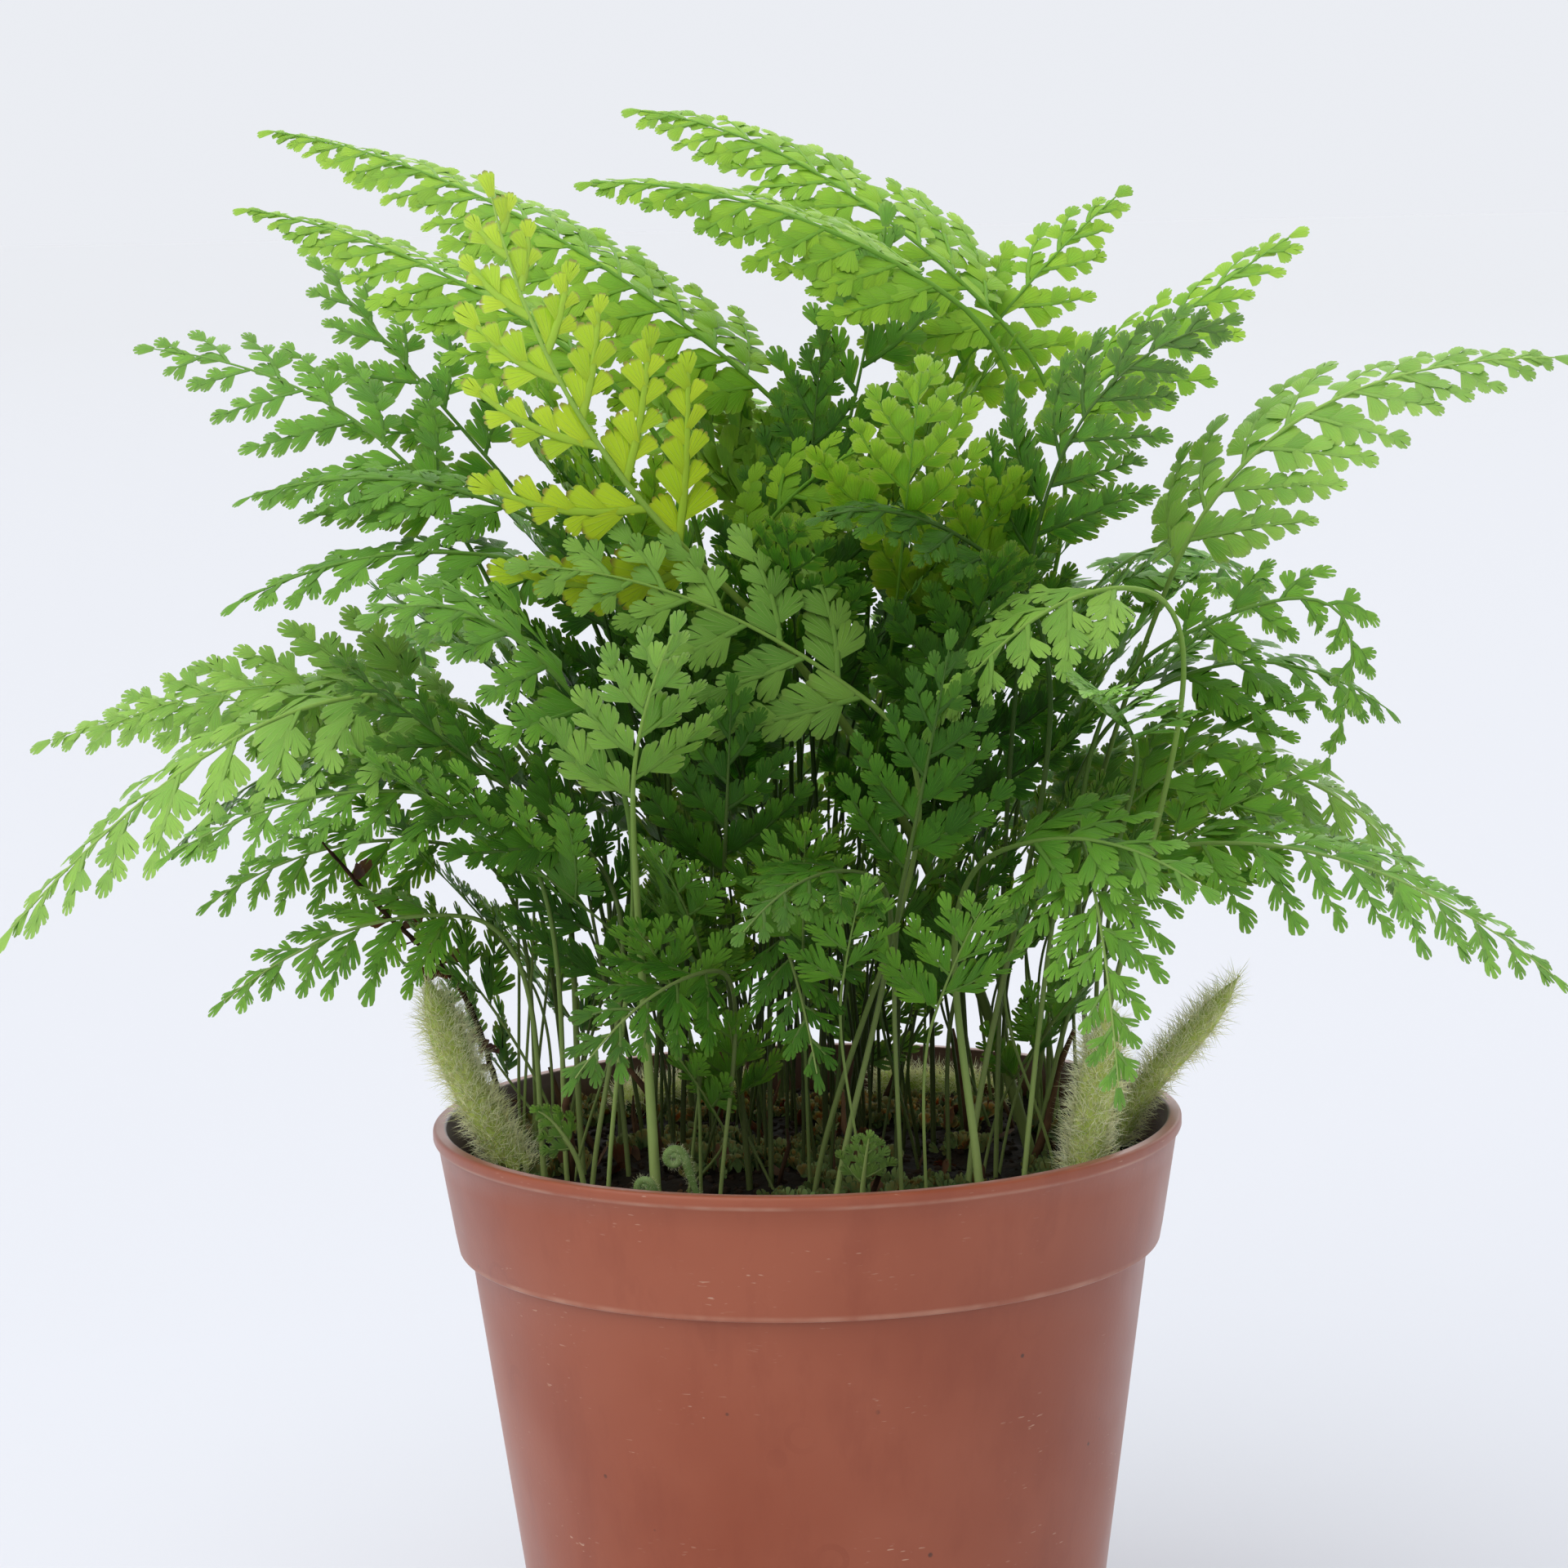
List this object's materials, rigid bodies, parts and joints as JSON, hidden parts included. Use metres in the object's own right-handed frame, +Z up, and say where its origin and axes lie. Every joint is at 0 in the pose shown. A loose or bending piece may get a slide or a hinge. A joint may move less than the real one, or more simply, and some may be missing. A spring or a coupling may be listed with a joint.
{
  "type": "potted rabbit's foot fern",
  "caption": "Rabbit's foot fern with lacy arching fronds on thin stalks and furry rhizomes over the rim of a round tapered plastic nursery pot.",
  "frame": {"origin": "middle of the pot's flat underside, on the pot's axis", "axes": "+Z up along the pot's axis, -Y towards the side seen in the picture, +X to the right of that view"},
  "size_m": [0.2432, 0.1866, 0.2666],
  "materials": {
    "pot_plastic": "satin",
    "peat_soil": "matte",
    "rhizome_fur": "matte",
    "leaf_lime": "satin",
    "leaf_vivid": "satin",
    "leaf_mid": "satin",
    "leaf_pale": "satin",
    "leaf_dark": "satin",
    "dead_stalk": "matte"
  },
  "bodies": {
    "root": {"pot": "pot_plastic", "soil": "peat_soil", "rhizome_left": "rhizome_fur", "rhizome_right_upright": "rhizome_fur", "rhizome_right_outer": "rhizome_fur", "rhizome_lying_left": "rhizome_fur", "rhizome_lying_right": "rhizome_fur", "dead_twig": "dead_stalk", "fiddlehead_front": "leaf_pale", "fiddlehead_front_low": "leaf_pale", "leaf_juvenile_left": "leaf_mid", "leaf_juvenile_middle": "leaf_pale", "frond_lime_hero": "leaf_lime", "frond_dark_crest": "leaf_dark", "frond_front_left": "leaf_mid", "frond_front_small": "leaf_pale", "frond_front_middle": "leaf_pale", "frond_blue_front": "leaf_dark", "frond_pale_strip": "leaf_pale", "frond_folded": "leaf_mid", "frond_hanging_front": "leaf_mid", "frond_reaching_right": "leaf_mid", "frond_low_right": "leaf_pale", "frond_curling": "leaf_dark", "frond_far_right": "leaf_pale", "frond_long_left": "leaf_pale", "frond_low_left": "leaf_mid", "frond_fine_left": "leaf_mid", "frond_lowest_left": "leaf_mid", "frond_top_left": "leaf_vivid", "frond_second_left": "leaf_vivid", "frond_top_middle": "leaf_vivid", "frond_top_front": "leaf_vivid", "frond_upper_right": "leaf_vivid", "frond_right_tip": "leaf_vivid", "frond_dark_left": "leaf_dark", "frond_dark_left_high": "leaf_dark", "frond_left_flat": "leaf_mid", "frond_left_flat_high": "leaf_dark", "frond_heart": "leaf_dark", "frond_small_crown": "leaf_vivid", "frond_right_strip": "leaf_dark", "frond_low_front": "leaf_dark", "frond_low_front_right": "leaf_mid", "frond_right_shade": "leaf_dark", "frond_left_shade": "leaf_dark", "frond_under_left": "leaf_dark", "frond_under_middle": "leaf_dark", "frond_core_left": "leaf_dark", "frond_core_right": "leaf_dark", "frond_crown_back": "leaf_mid", "frond_star": "leaf_dark", "frond_low_core_left": "leaf_dark", "frond_low_core_right": "leaf_dark", "frond_back_left": "leaf_mid", "frond_back_high": "leaf_vivid", "frond_back_low": "leaf_mid", "frond_back_right": "leaf_mid", "frond_back_side": "leaf_dark", "frond_side_left": "leaf_dark"}
  },
  "joints": []
}
